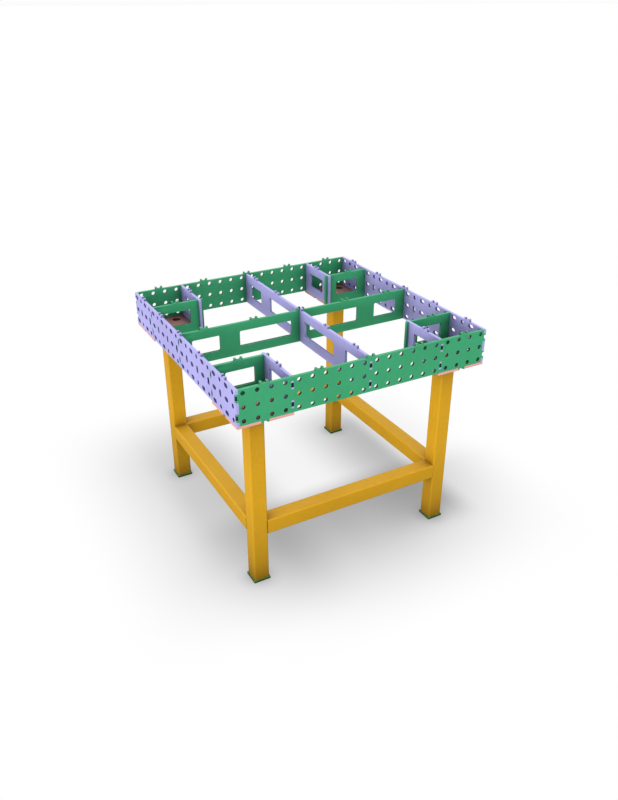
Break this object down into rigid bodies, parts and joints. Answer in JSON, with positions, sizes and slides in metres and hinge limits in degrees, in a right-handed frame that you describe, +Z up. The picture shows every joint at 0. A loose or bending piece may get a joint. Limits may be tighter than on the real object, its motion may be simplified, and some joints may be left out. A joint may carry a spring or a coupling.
{
  "type": "welding table",
  "caption": "Square welding table frame: four tube legs with stretchers carry perforated skirts and tabbed, half-lapped ribs, ready for a top plate.",
  "frame": {"origin": "on the floor under the centre of the table", "axes": "+Z up, +X along the front skirt to the right, +Y from the front skirt to the back"},
  "size_m": [1, 1, 0.865],
  "materials": {
    "green_plate": "satin green coating",
    "lavender_plate": "satin lavender coating",
    "salmon_plate": "satin salmon coating",
    "yellow_tube": "satin signal yellow coating",
    "foot_plate": "satin dark green coating"
  },
  "bodies": {
    "root": {"skirt_front": "green_plate", "skirt_back": "green_plate", "skirt_left": "lavender_plate", "skirt_right": "lavender_plate", "centre_rib_x": "green_plate", "centre_rib_y": "lavender_plate", "corner_rib_x_front_left": "green_plate", "corner_rib_y_front_left": "lavender_plate", "leg_plate_front_left": "salmon_plate", "leg_flange_front_left": "yellow_tube", "leg_front_left": "yellow_tube", "foot_plate_front_left": "foot_plate", "corner_rib_x_front_right": "green_plate", "corner_rib_y_front_right": "lavender_plate", "leg_plate_front_right": "salmon_plate", "leg_flange_front_right": "yellow_tube", "leg_front_right": "yellow_tube", "foot_plate_front_right": "foot_plate", "corner_rib_x_back_left": "green_plate", "corner_rib_y_back_left": "lavender_plate", "leg_plate_back_left": "salmon_plate", "leg_flange_back_left": "yellow_tube", "leg_back_left": "yellow_tube", "foot_plate_back_left": "foot_plate", "corner_rib_x_back_right": "green_plate", "corner_rib_y_back_right": "lavender_plate", "leg_plate_back_right": "salmon_plate", "leg_flange_back_right": "yellow_tube", "leg_back_right": "yellow_tube", "foot_plate_back_right": "foot_plate", "stretcher_front": "yellow_tube", "stretcher_back": "yellow_tube", "stretcher_left": "yellow_tube", "stretcher_right": "yellow_tube"}
  },
  "joints": []
}
